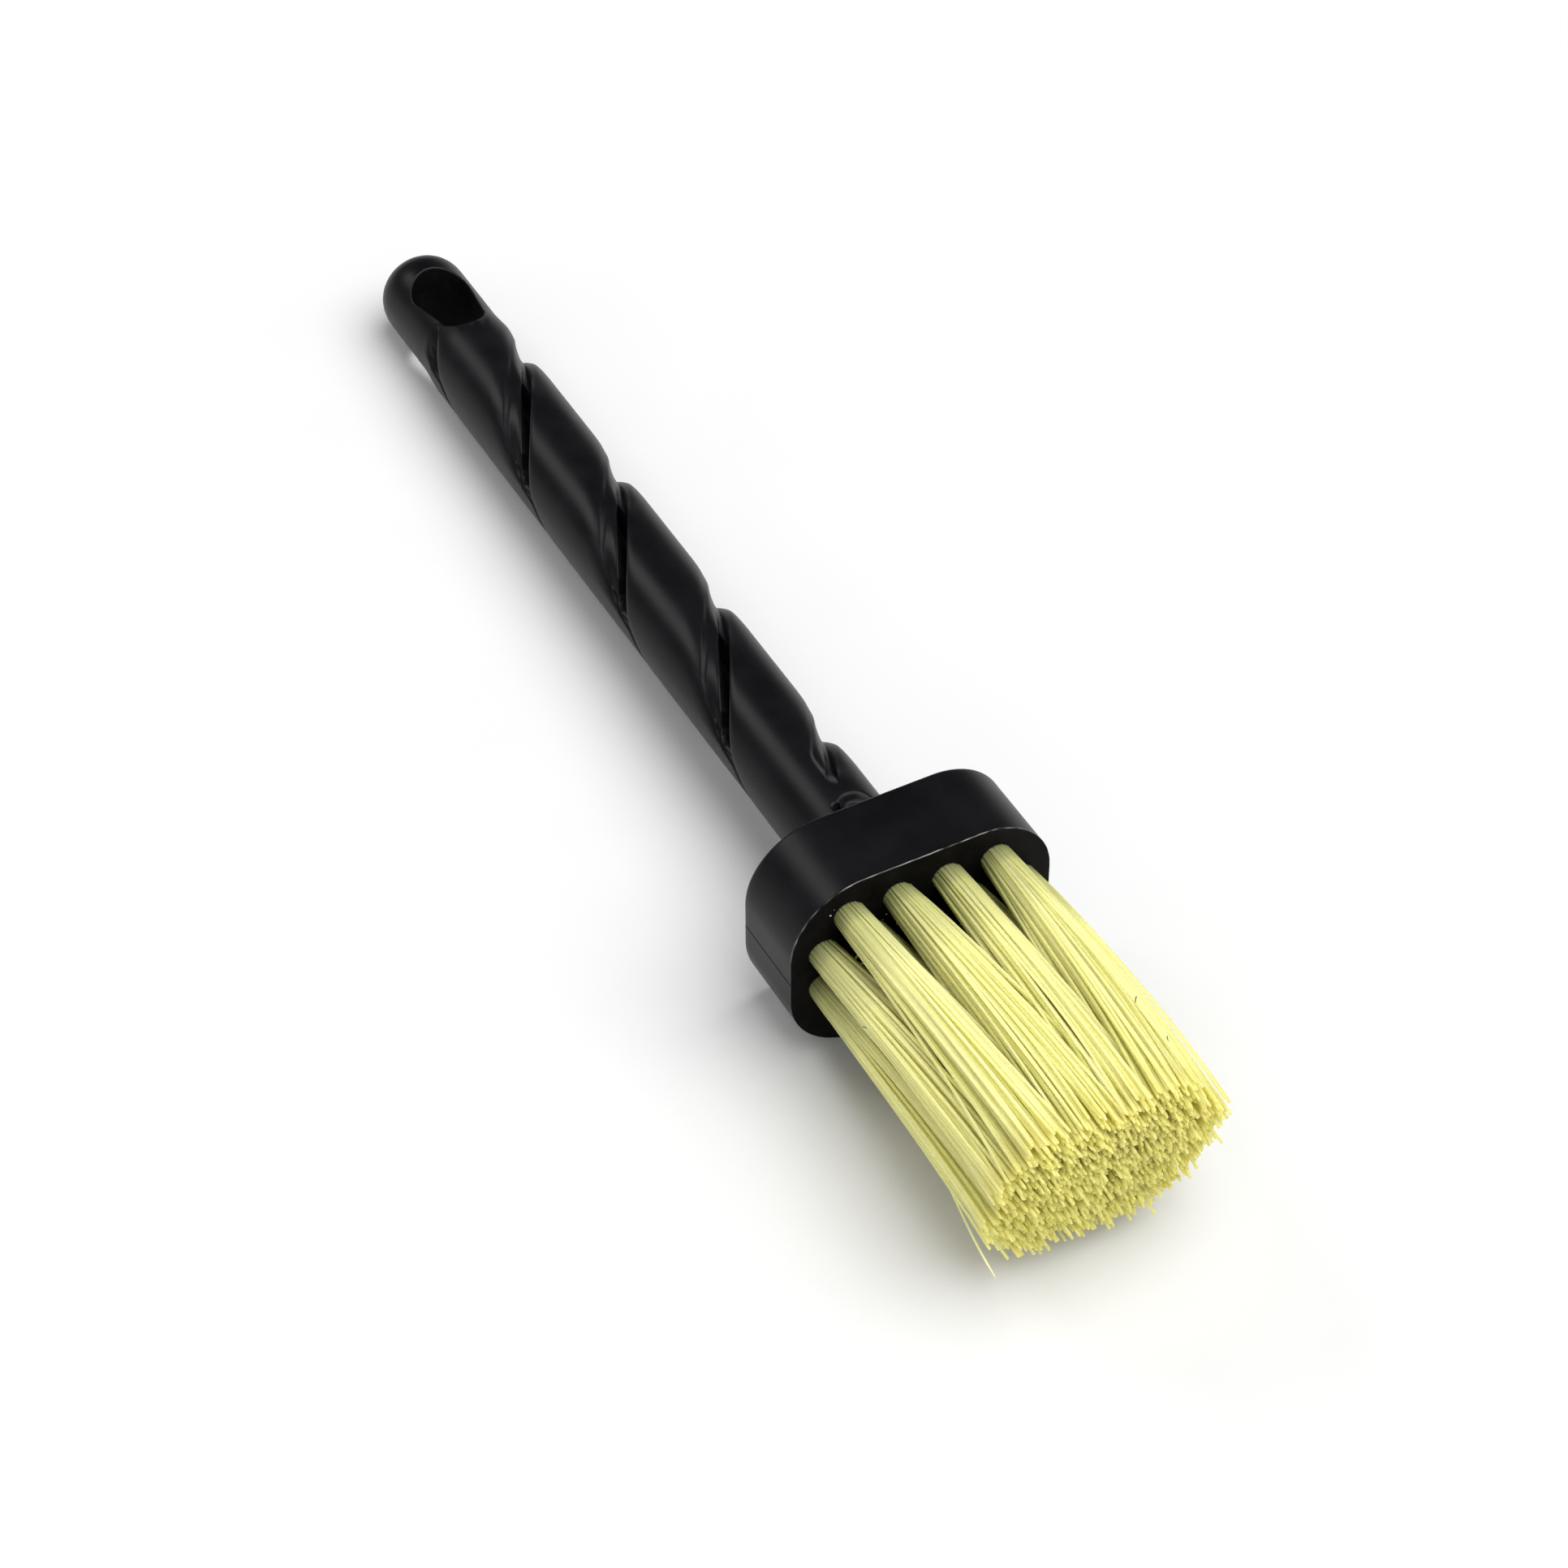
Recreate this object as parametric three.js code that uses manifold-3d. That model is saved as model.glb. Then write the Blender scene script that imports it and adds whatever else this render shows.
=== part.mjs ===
// Stencil brush: a one-piece moulded handle and head, and eighteen tufts held by wire anchors.
// Frame: X runs from the hanging end of the handle to the bristle tips, Z is up, and the brush
// lies with the long flat side of its head on Z = 0. The origin is below the middle of the length.
import * as THREE from "three";
import { mergeVertices } from "three/addons/utils/BufferGeometryUtils.js";
import Module from "manifold-3d";

const wasm = await Module();
wasm.setup();

// Driving dimensions of the moulding, millimetres.
const HEAD_WIDTH = 26.6;
const HEAD_HEIGHT = 19.6;
const HEAD_DEPTH = 9.0;
const HEAD_CORNER = 7.4;
const BACK_EDGE_ROUND = 0.5;
const FACE_EDGE_BREAK = 0.2;
const HANDLE_LENGTH = 99.0;
const HANDLE_RADIUS = 4.85;
const NECK_LENGTH = 2.6;
const NECK_FLARE = 1.0;

// The hanging end of the handle.
const END_RADIUS = 4.55;
const END_LENGTH = 12.0;
const END_BLEND = 4.0;
const DOME_LENGTH = 4.2;
const HANG_HOLE_FROM_END = 7.8;
const HANG_HOLE_RADIUS = 3.0;
const HANG_HOLE_NARROW_RADIUS = 2.3;
const HANG_HOLE_CENTRES = 4.9;

// The spiral grooves of the twist.
const TWIST_PITCH = 21.2;
const TWIST_START = 18.0;
const TWIST_WANDER = 1.3;
const GROOVE_DEPTH = 1.15;
const GROOVE_FADE_IN = 4.5;
const GROOVE_STOP = 6.0;
const GROOVE_FADE_OUT = 3.5;

// Tufts, their holes and their anchors.
const HOLE_DIAMETER = 3.0;
const HOLE_FLOOR = 2.0;
const SIDE_RIM = 1.8;
const LONG_RIM = 2.15;
const BRISTLE_LENGTH = 31.5;
const TIP_SPREAD = 0.07;
const ANCHOR_THICKNESS = 0.3;
const ANCHOR_WIDTH = 1.6;
const ANCHOR_BITE = 0.2;
const ANCHOR_RISE = 0.7;

// Clearances.
const TUFT_CLEARANCE = 0.08;
const TIP_GAP = 0.45;
const NICK_CLEARANCE = 0.05;
const EYE_CLEARANCE = 0.06;

// Sizes that follow from the ones above.
const TOTAL_LENGTH = HANDLE_LENGTH + HEAD_DEPTH + BRISTLE_LENGTH;
const FACE_X = TOTAL_LENGTH / 2 - BRISTLE_LENGTH;
const HEAD_BACK_X = FACE_X - HEAD_DEPTH;
const HANDLE_END_X = HEAD_BACK_X - HANDLE_LENGTH;
const AXIS_Z = HEAD_HEIGHT / 2;
const HOLE_RADIUS = HOLE_DIAMETER / 2;
const HOLE_BOTTOM_X = HEAD_BACK_X + HOLE_FLOOR;
const TUFT_RADIUS = HOLE_RADIUS - TUFT_CLEARANCE;
const ANCHOR_LENGTH = HOLE_DIAMETER + 2 * ANCHOR_BITE;
const ANCHOR_X = HOLE_BOTTOM_X + ANCHOR_RISE + ANCHOR_WIDTH / 2;
const COLUMN_PITCH = (HEAD_WIDTH - HOLE_DIAMETER - 2 * SIDE_RIM) / 4;
const ROW_REACH = (HEAD_HEIGHT - HOLE_DIAMETER) / 2 - LONG_RIM;

// The rows of tufts from top to bottom: a name, a height as a share of the reach, and a count.
const ROWS = [
  { name: "top", height: 1.0, count: 4 },
  { name: "upper", height: 0.4, count: 5 },
  { name: "lower", height: -0.29, count: 5 },
  { name: "bottom", height: -0.98, count: 4 },
];
const CLOSEST_ROWS = 0.6;
const STACKED_ROWS = 0.69;

// A groove in section: the distance across it, and the depth as a share of the groove depth.
// It falls slowly, drops into a narrow slit and climbs out steeply.
const GROOVE_SECTION = [
  [-6.2, 0.0],
  [-5.0, 0.12],
  [-3.7, 0.36],
  [-2.6, 0.64],
  [-1.8, 0.82],
  [-1.55, 1.75],
  [-0.1, 1.75],
  [0.15, 0.35],
  [1.1, 0.12],
  [2.6, 0.03],
  [4.2, 0.0],
];

const blackPlastic = new THREE.MeshStandardMaterial({
  color: 0x1b1b1d,
  roughness: 0.42,
  metalness: 0.0,
});
const paleNylon = new THREE.MeshStandardMaterial({
  color: 0xe6e3a4,
  roughness: 0.5,
  metalness: 0.0,
});
const anchorSteel = new THREE.MeshStandardMaterial({
  color: 0xa9a9a4,
  roughness: 0.35,
  metalness: 1.0,
});

function clamp(value, low, high) {
  return Math.min(Math.max(value, low), high);
}

function smoothStep(low, high, value) {
  const t = clamp((value - low) / (high - low), 0, 1);
  return t * t * (3 - 2 * t);
}

// A closed solid from a flat list of coordinates and a list of triangles.
function solidFrom(points, triangles) {
  return new wasm.Manifold(
    new wasm.Mesh({
      numProp: 3,
      vertProperties: new Float32Array(points),
      triVerts: new Uint32Array(triangles),
    }),
  );
}

// A solid from a closed three.js geometry.
function solidOf(geometry) {
  const bare = geometry.clone();
  bare.deleteAttribute("normal");
  bare.deleteAttribute("uv");
  const merged = mergeVertices(bare, 1e-4);
  return solidFrom(merged.attributes.position.array, merged.index.array);
}

// A named mesh from a solid.
function meshFrom(name, solid, material) {
  const found = solid.getMesh();
  const points = new Float32Array(found.vertProperties);
  const geometry = new THREE.BufferGeometry();
  geometry.setAttribute("position", new THREE.BufferAttribute(points, 3));
  geometry.setIndex(Array.from(found.triVerts));
  geometry.computeVertexNormals();
  const mesh = new THREE.Mesh(geometry, material);
  mesh.name = name;
  return mesh;
}

// A solid skinned over rings of points that follow each other along +X.
function loft(rings) {
  const count = rings[0].length;
  const triangles = [];
  for (let i = 0; i < rings.length - 1; i++) {
    for (let j = 0; j < count; j++) {
      const a = i * count + j;
      const b = i * count + ((j + 1) % count);
      triangles.push(a, b, b + count, a, b + count, a + count);
    }
  }
  const last = (rings.length - 1) * count;
  for (let j = 1; j < count - 1; j++) {
    triangles.push(0, j + 1, j);
    triangles.push(last, last + j, last + j + 1);
  }
  return solidFrom(rings.flat(2), triangles);
}

// One oval ring of points square to X.
function ovalRing(x, y, z, radiusY, radiusZ, count) {
  const ring = [];
  for (let j = 0; j < count; j++) {
    const turn = (j / count) * 2 * Math.PI;
    ring.push([x, y + radiusY * Math.cos(turn), z + radiusZ * Math.sin(turn)]);
  }
  return ring;
}

function box(sizeX, sizeY, sizeZ, x, y, z) {
  return solidOf(new THREE.BoxGeometry(sizeX, sizeY, sizeZ).translate(x, y, z));
}

// The plain outline of the handle along its length, before the twist is cut.
function handleRadius(x) {
  const fromEnd = x - HANDLE_END_X;
  const rise = smoothStep(END_LENGTH, END_LENGTH + END_BLEND, fromEnd);
  const radius = END_RADIUS + (HANDLE_RADIUS - END_RADIUS) * rise;
  if (fromEnd < DOME_LENGTH) {
    const share = clamp(1 - (fromEnd + 0.1) / DOME_LENGTH, 0, 1);
    return radius * Math.pow(1 - Math.pow(share, 2.4), 1 / 2.4);
  }
  const neck = clamp((x - HEAD_BACK_X + NECK_LENGTH) / NECK_LENGTH, 0, 1);
  return radius + NECK_FLARE * neck * neck;
}

// Where a groove's floor crosses the given turn about the axis. The two starts of the thread
// share one formula: a whole turn moves a groove on by two pitches.
function groovePath(order, turn) {
  const wander = TWIST_WANDER * Math.sin(2 * turn);
  return HANDLE_END_X + TWIST_START + (order + turn / Math.PI) * TWIST_PITCH - wander;
}

function grooveSection(across) {
  const last = GROOVE_SECTION.length - 1;
  if (across <= GROOVE_SECTION[0][0]) return 0;
  if (across >= GROOVE_SECTION[last][0]) return 0;
  let k = 1;
  while (GROOVE_SECTION[k][0] < across) k++;
  const [near, nearDepth] = GROOVE_SECTION[k - 1];
  const [far, farDepth] = GROOVE_SECTION[k];
  return nearDepth + ((farDepth - nearDepth) * (across - near)) / (far - near);
}

// The grooves run out beside the left-hand parting line and towards both ends of the handle.
function grooveShare(x, turn) {
  const degrees = (turn * 180) / Math.PI;
  const leaving = 1 - 0.87 * smoothStep(138, 172, degrees);
  const gone = 1 - smoothStep(185, 218, degrees);
  const coming = smoothStep(226, 256, degrees);
  const around = Math.max(leaving * gone, coming);
  const fadeFrom = HANDLE_END_X + END_LENGTH + 0.5;
  const start = smoothStep(fadeFrom, fadeFrom + GROOVE_FADE_IN, x);
  const stopAt = HEAD_BACK_X - GROOVE_STOP;
  const stop = 1 - smoothStep(stopAt - GROOVE_FADE_OUT, stopAt, x);
  return around * start * stop;
}

function grooveDepth(x, turn) {
  const offset = x - groovePath(0, turn);
  const across = offset - TWIST_PITCH * Math.round(offset / TWIST_PITCH);
  return GROOVE_DEPTH * grooveSection(across) * grooveShare(x, turn);
}

// The twisted handle. Its mesh lines follow the grooves, so the slits stay sharp.
function handleSolid() {
  const columns = 32;
  const lowX = HANDLE_END_X + DOME_LENGTH + 0.8;
  const highX = HEAD_BACK_X + 0.6;
  const points = [];
  const triangles = [];
  const known = new Map();

  function vertex(x, column) {
    const wrapped = column % columns;
    const key = wrapped + ":" + x.toFixed(4);
    if (!known.has(key)) {
      const turn = (wrapped / columns) * 2 * Math.PI;
      const radius = handleRadius(x) - grooveDepth(x, turn);
      known.set(key, points.length / 3);
      points.push(x, radius * Math.cos(turn), AXIS_Z + radius * Math.sin(turn));
    }
    return known.get(key);
  }

  function triangle(a, b, c) {
    if (a !== b && b !== c && c !== a) triangles.push(a, b, c);
  }

  // The strip of surface between two mesh lines, each a function from a column to its X.
  function strip(lineA, lineB) {
    for (let j = 0; j < columns; j++) {
      const a = vertex(lineA(j), j);
      const b = vertex(lineA(j + 1), j + 1);
      const c = vertex(lineB(j + 1), j + 1);
      const d = vertex(lineB(j), j);
      triangle(a, b, c);
      triangle(a, c, d);
    }
  }

  // The rounded end.
  const domeShares = [0, 0.12, 0.3, 0.58, 0.95];
  const domeX = domeShares.map((share) => HANDLE_END_X + share * DOME_LENGTH);
  domeX.push(lowX);
  for (let i = 0; i < domeX.length - 1; i++) {
    strip(
      () => domeX[i],
      () => domeX[i + 1],
    );
  }

  // The twisted length, clipped to its two ends column by column.
  const stations = GROOVE_SECTION.map(([across]) => across);
  const firstStation = stations[0];
  const lastStation = stations[stations.length - 1];
  stations.push((firstStation + lastStation + TWIST_PITCH) / 2);
  const lines = [];
  const orders = Math.ceil(HANDLE_LENGTH / TWIST_PITCH) + 1;
  for (let order = -4; order < orders; order++) {
    for (const across of stations) {
      lines.push((column) => {
        const turn = ((column % columns) / columns) * 2 * Math.PI;
        const wander = TWIST_WANDER * Math.sin(2 * turn);
        const middle = (order + (2 * column) / columns) * TWIST_PITCH;
        const x = HANDLE_END_X + TWIST_START + middle - wander + across;
        return clamp(x, lowX, highX);
      });
    }
  }
  for (let i = 0; i < lines.length - 1; i++) strip(lines[i], lines[i + 1]);

  // The two flat caps: a small one at the tip, and one buried in the head.
  const tipX = domeX[0];
  for (let j = 1; j < columns - 1; j++) {
    triangle(vertex(tipX, 0), vertex(tipX, j + 1), vertex(tipX, j));
    triangle(vertex(highX, 0), vertex(highX, j), vertex(highX, j + 1));
  }
  return solidFrom(points, triangles);
}

// The rounded outline of the head at one place along X, drawn in by the inset given.
function headRing(x, inset) {
  const steps = 8;
  const corner = Math.min(HEAD_CORNER, HEAD_HEIGHT / 2 - 0.2);
  const centreY = HEAD_WIDTH / 2 - corner;
  const centreZ = HEAD_HEIGHT / 2 - corner;
  const signs = [
    [1, 1],
    [-1, 1],
    [-1, -1],
    [1, -1],
  ];
  const ring = [];
  for (let q = 0; q < 4; q++) {
    for (let k = 0; k <= steps; k++) {
      const turn = ((q + k / steps) * Math.PI) / 2;
      const y = signs[q][0] * centreY + (corner - inset) * Math.cos(turn);
      const z = AXIS_Z + signs[q][1] * centreZ + (corner - inset) * Math.sin(turn);
      ring.push([x, y, z]);
    }
  }
  return ring;
}

function headSolid() {
  return loft([
    headRing(HEAD_BACK_X, BACK_EDGE_ROUND),
    headRing(HEAD_BACK_X + BACK_EDGE_ROUND * 0.3, BACK_EDGE_ROUND * 0.3),
    headRing(HEAD_BACK_X + BACK_EDGE_ROUND, 0),
    headRing(FACE_X - FACE_EDGE_BREAK, 0),
    headRing(FACE_X, FACE_EDGE_BREAK),
  ]);
}

// The hanging hole: egg-shaped, wider towards the end of the handle, straight through.
function hangingHole() {
  const wideX = HANDLE_END_X + HANG_HOLE_FROM_END;
  const narrowX = wideX + HANG_HOLE_CENTRES;
  const quarter = Math.PI / 2;
  const outline = new THREE.Shape();
  outline.absarc(narrowX, 0, HANG_HOLE_NARROW_RADIUS, -quarter, quarter, false);
  outline.absarc(wideX, 0, HANG_HOLE_RADIUS, quarter, 3 * quarter, false);
  outline.closePath();
  const tall = HANDLE_RADIUS * 2 + 4;
  const slug = new THREE.ExtrudeGeometry(outline, {
    depth: tall,
    bevelEnabled: false,
    curveSegments: 10,
  });
  return solidOf(slug.translate(0, 0, AXIS_Z - tall / 2));
}

// The place of every tuft on the face: a name, and how far it sits from the axis.
function tuftPlaces() {
  const places = [];
  for (const row of ROWS) {
    for (let k = 0; k < row.count; k++) {
      const y = (k - (row.count - 1) / 2) * COLUMN_PITCH;
      places.push({ name: row.name + "_" + (k + 1), y, z: row.height * ROW_REACH });
    }
  }
  return places;
}

// One blind hole, with the two nicks that the anchor bites into its wall.
function tuftHole(place) {
  const z = AXIS_Z + place.z;
  const bore = loft([
    ovalRing(HOLE_BOTTOM_X, place.y, z, HOLE_RADIUS, HOLE_RADIUS, 20),
    ovalRing(FACE_X + 1, place.y, z, HOLE_RADIUS, HOLE_RADIUS, 20),
  ]);
  const wide = ANCHOR_WIDTH + 2 * NICK_CLEARANCE;
  const long = ANCHOR_LENGTH + 2 * NICK_CLEARANCE;
  const thick = ANCHOR_THICKNESS + 2 * NICK_CLEARANCE;
  return bore.add(box(wide, long, thick, ANCHOR_X, place.y, z));
}

function handleBody() {
  let body = handleSolid().add(headSolid());
  body = body.subtract(hangingHole());
  for (const place of tuftPlaces()) body = body.subtract(tuftHole(place));
  return meshFrom("handle_body", body, blackPlastic);
}

// One tuft: a round root with an eye for its anchor, opening out towards a fuller tip.
function tuft(place) {
  const sides = 14;
  const tipY = ((1 + TIP_SPREAD) * COLUMN_PITCH - TIP_GAP) / 2;
  const slanted = Math.hypot(CLOSEST_ROWS * ROW_REACH, COLUMN_PITCH / 2);
  const stacked = STACKED_ROWS * ROW_REACH;
  const rowStep = Math.min(slanted, stacked) * (1 + TIP_SPREAD);
  const tipZ = (rowStep - TIP_GAP) / 2;
  // Share of the length, share of the opening at that place.
  const stages = [
    [0, 0],
    [0.2, 0.03],
    [0.48, 0.25],
    [0.78, 0.65],
    [0.975, 1],
    [1, 0.7],
  ];
  const rootZ = AXIS_Z + place.z;
  const rootX = HOLE_BOTTOM_X + TUFT_CLEARANCE;
  const rings = [ovalRing(rootX, place.y, rootZ, TUFT_RADIUS, TUFT_RADIUS, sides)];
  for (const [along, open] of stages) {
    const x = FACE_X + along * BRISTLE_LENGTH;
    const spread = 1 + TIP_SPREAD * along;
    const radiusY = TUFT_RADIUS + (tipY - TUFT_RADIUS) * open;
    const radiusZ = TUFT_RADIUS + (tipZ - TUFT_RADIUS) * open;
    const z = AXIS_Z + place.z * spread;
    rings.push(ovalRing(x, place.y * spread, z, radiusY, radiusZ, sides));
  }
  const wide = ANCHOR_WIDTH + 2 * EYE_CLEARANCE;
  const long = HOLE_DIAMETER + 1;
  const thick = ANCHOR_THICKNESS + 2 * EYE_CLEARANCE;
  const eye = box(wide, long, thick, ANCHOR_X, place.y, rootZ);
  return meshFrom("tuft_" + place.name, loft(rings).subtract(eye), paleNylon);
}

// The flat wire anchor that holds a tuft down, its ends bitten into the wall of the hole.
function anchor(place) {
  const strip = new THREE.BoxGeometry(ANCHOR_WIDTH, ANCHOR_LENGTH, ANCHOR_THICKNESS);
  const mesh = new THREE.Mesh(strip, anchorSteel);
  mesh.name = "anchor_" + place.name;
  mesh.position.set(ANCHOR_X, place.y, AXIS_Z + place.z);
  return mesh;
}

const brush = new THREE.Group();
brush.add(handleBody());
for (const place of tuftPlaces()) {
  brush.add(tuft(place));
  brush.add(anchor(place));
}

export default brush;
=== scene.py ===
import math

import bmesh
import bpy
import numpy as np
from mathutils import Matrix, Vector, noise


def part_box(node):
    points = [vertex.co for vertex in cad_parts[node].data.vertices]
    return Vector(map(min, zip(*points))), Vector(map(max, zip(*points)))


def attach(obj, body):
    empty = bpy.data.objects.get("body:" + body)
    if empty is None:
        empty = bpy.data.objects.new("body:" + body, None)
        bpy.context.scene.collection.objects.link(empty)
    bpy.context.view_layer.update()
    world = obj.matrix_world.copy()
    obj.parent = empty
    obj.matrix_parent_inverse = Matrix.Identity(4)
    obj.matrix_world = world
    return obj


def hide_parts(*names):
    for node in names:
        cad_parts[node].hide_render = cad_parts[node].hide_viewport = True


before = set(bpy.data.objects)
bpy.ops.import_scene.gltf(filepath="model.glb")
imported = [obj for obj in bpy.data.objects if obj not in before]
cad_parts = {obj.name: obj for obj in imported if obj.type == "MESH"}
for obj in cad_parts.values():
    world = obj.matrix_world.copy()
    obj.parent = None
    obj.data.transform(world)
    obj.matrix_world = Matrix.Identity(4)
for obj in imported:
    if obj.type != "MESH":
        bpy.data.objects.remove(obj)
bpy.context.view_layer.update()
mm = 0.001

# everything below is worked out in millimetres and scaled when a mesh is made
bodyLow, bodyHigh = [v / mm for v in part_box("handle_body")]
endX = bodyLow.x
faceX = bodyHigh.x
axisZ = (bodyLow.z + bodyHigh.z) / 2


def smooth(low, high, value):
    t = np.clip((np.asarray(value, float) - low) / (high - low), 0, 1)
    return t * t * (3 - 2 * t)


def easedTable(at, keys, rows):
    # rows of numbers blended between key places with an eased step
    keys = np.asarray(keys, float)
    rows = np.asarray(rows, float)
    i = np.clip(np.searchsorted(keys, at, side="right") - 1, 0, len(keys) - 2)
    t = smooth(0, 1, (at - keys[i]) / (keys[i + 1] - keys[i]))
    return rows[i] * (1 - t)[:, None] + rows[i + 1] * t[:, None]


def monotoneCurve(xs, ys, fractions):
    # a smooth curve through each column's points that never overshoots them
    h = np.diff(xs, axis=0)
    d = np.diff(ys, axis=0) / h
    m = np.zeros_like(ys)
    same = d[:-1] * d[1:] > 0
    wide = 2 * h[1:] + h[:-1]
    narrow = h[1:] + 2 * h[:-1]
    with np.errstate(divide="ignore", invalid="ignore"):
        mean = (wide + narrow) / (wide / d[:-1] + narrow / d[1:])
    m[1:-1] = np.where(same, mean, 0)
    outX, outY = [], []
    for i, count in enumerate(fractions):
        for k in range(count):
            t = k / count
            a = (1 + 2 * t) * (1 - t) ** 2
            b = t * (1 - t) ** 2
            c = t * t * (3 - 2 * t)
            e = t * t * (t - 1)
            outX.append(xs[i] + t * h[i])
            outY.append(a * ys[i] + b * h[i] * m[i] + c * ys[i + 1] + e * h[i] * m[i + 1])
    return np.array(outX), np.array(outY)


def showMesh(name, mesh):
    obj = bpy.data.objects.new(name, mesh)
    bpy.context.scene.collection.objects.link(obj)
    return obj


def addMesh(name, points, faces):
    mesh = bpy.data.meshes.new(name)
    mesh.from_pydata([tuple(p) for p in np.asarray(points) * mm], [], faces)
    mesh.validate()
    mesh.shade_smooth()
    return showMesh(name, mesh)


def applyModifiers(obj):
    graph = bpy.context.evaluated_depsgraph_get()
    mesh = bpy.data.meshes.new_from_object(obj.evaluated_get(graph))
    obj.modifiers.clear()
    obj.data = mesh


def pointValues(mesh, name, values):
    # one number at every point of a mesh, for its material to read
    made = mesh.attributes.new(name, "FLOAT", "POINT")
    made.data.foreach_set("value", np.asarray(values, np.float32))


def setSockets(made, sockets):
    for key, value in sockets.items():
        made.inputs[key].default_value = value


def node(tree, kind, at, sockets=None, **values):
    made = tree.nodes.new(kind)
    made.location = at
    for key, value in values.items():
        setattr(made, key, value)
    setSockets(made, sockets or {})
    return made


def newMaterial(name):
    material = bpy.data.materials.new(name)
    material.use_nodes = True
    tree = material.node_tree
    return material, tree, tree.nodes["Principled BSDF"]


def noisePattern(tree, at, source, scale, detail=2):
    made = node(tree, "ShaderNodeTexNoise", at, {"Scale": scale, "Detail": detail})
    tree.links.new(source, made.inputs["Vector"])
    return made.outputs["Fac"]


def colourRamp(tree, at, source, stops):
    # colours through (place, colour) pairs, the first and the last at the ramp's two ends
    made = node(tree, "ShaderNodeValToRGB", at)
    ramp = made.color_ramp
    for element, (place, colour) in zip(ramp.elements, (stops[0], stops[-1])):
        element.position = place
        element.color = colour
    for place, colour in stops[1:-1]:
        ramp.elements.new(place).color = colour
    tree.links.new(source, made.inputs["Fac"])
    return made.outputs["Color"]


def bumpFrom(tree, at, source, strength, height):
    # a bump from a pattern, its height in mm
    made = node(tree, "ShaderNodeBump", at, {"Strength": strength, "Distance": height * mm})
    tree.links.new(source, made.inputs["Height"])
    return made


def roughnessFrom(tree, at, source, low, high):
    made = node(tree, "ShaderNodeMapRange", at, {"To Min": low, "To Max": high})
    tree.links.new(source, made.inputs["Value"])
    tree.links.new(made.outputs["Result"], tree.nodes["Principled BSDF"].inputs["Roughness"])


# in all the finishes a pattern's scale is about how many of its marks fit in a metre
moulded = {
    "dark": (0.0016, 0.0015, 0.0022, 1),
    "light": (0.0038, 0.0036, 0.0048, 1),
    "darkAt": 0.36,
    "lightAt": 0.68,
    "mottle": 240,
    "roughFrom": 0.31,
    "roughTo": 0.41,
    "gloss": 0.28,
    "refraction": 1.33,
    "grain": 3125,         # the satin skin
    "grainHeight": 0.010,
    "grainStrength": 0.55,
    "flow": 130,           # slow waves left by the mould
    "flowHeight": 0.05,
    "flowStrength": 0.5,
    "whitened": (0.25, 0.25, 0.24, 1),
}


def mouldedPlastic(name):
    material, tree, shader = newMaterial(name)
    link = tree.links.new
    place = node(tree, "ShaderNodeTexCoord", (-1300, 0)).outputs["Object"]
    mottle = noisePattern(tree, (-1000, 300), place, moulded["mottle"], 5)
    grain = noisePattern(tree, (-1000, 0), place, moulded["grain"], 3)
    flow = noisePattern(tree, (-1000, -300), place, moulded["flow"])
    stops = [(moulded["darkAt"], moulded["dark"]), (moulded["lightAt"], moulded["light"])]
    colours = colourRamp(tree, (-750, 300), mottle, stops)
    scuff = node(tree, "ShaderNodeAttribute", (-750, 560), attribute_name="scuff")
    paint = node(tree, "ShaderNodeMix", (-450, 300), {"B": moulded["whitened"]}, data_type="RGBA")
    link(scuff.outputs["Fac"], paint.inputs["Factor"])
    link(colours, paint.inputs["A"])
    link(paint.outputs["Result"], shader.inputs["Base Color"])
    roughnessFrom(tree, (-750, 0), mottle, moulded["roughFrom"], moulded["roughTo"])
    fine = bumpFrom(tree, (-450, -100), grain, moulded["grainStrength"], moulded["grainHeight"])
    broad = bumpFrom(tree, (-450, -350), flow, moulded["flowStrength"], moulded["flowHeight"])
    link(broad.outputs["Normal"], fine.inputs["Normal"])
    link(fine.outputs["Normal"], shader.inputs["Normal"])
    setSockets(shader, {"Specular IOR Level": moulded["gloss"], "IOR": moulded["refraction"]})
    return material


# a matt plastic, a little darker and much less glossy than the moulded one; besides the face it is
# painted shade in the hollows
matt = {
    "dark": (0.0012, 0.0011, 0.0012, 1),
    "light": (0.0040, 0.0034, 0.0034, 1),
    "darkAt": 0.4,
    "lightAt": 0.7,
    "marks": 900,
    "markHeight": 0.03,
    "markStrength": 0.5,
    "rough": 0.62,
    "gloss": 0.16,
}


def mattPlasticAndShade(name):
    # the drilled face, which is matt, and painted shade: the same darker, duller plastic on the
    # insides of holes and slits
    material, tree, shader = newMaterial(name)
    place = node(tree, "ShaderNodeTexCoord", (-1100, 0)).outputs["Object"]
    marks = noisePattern(tree, (-850, 0), place, matt["marks"], 5)
    stops = [(matt["darkAt"], matt["dark"]), (matt["lightAt"], matt["light"])]
    colours = colourRamp(tree, (-550, 100), marks, stops)
    tree.links.new(colours, shader.inputs["Base Color"])
    bump = bumpFrom(tree, (-550, -200), marks, matt["markStrength"], matt["markHeight"])
    tree.links.new(bump.outputs["Normal"], shader.inputs["Normal"])
    setSockets(shader, {"Roughness": matt["rough"], "Specular IOR Level": matt["gloss"],
                        "IOR": moulded["refraction"]})
    return material


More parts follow.
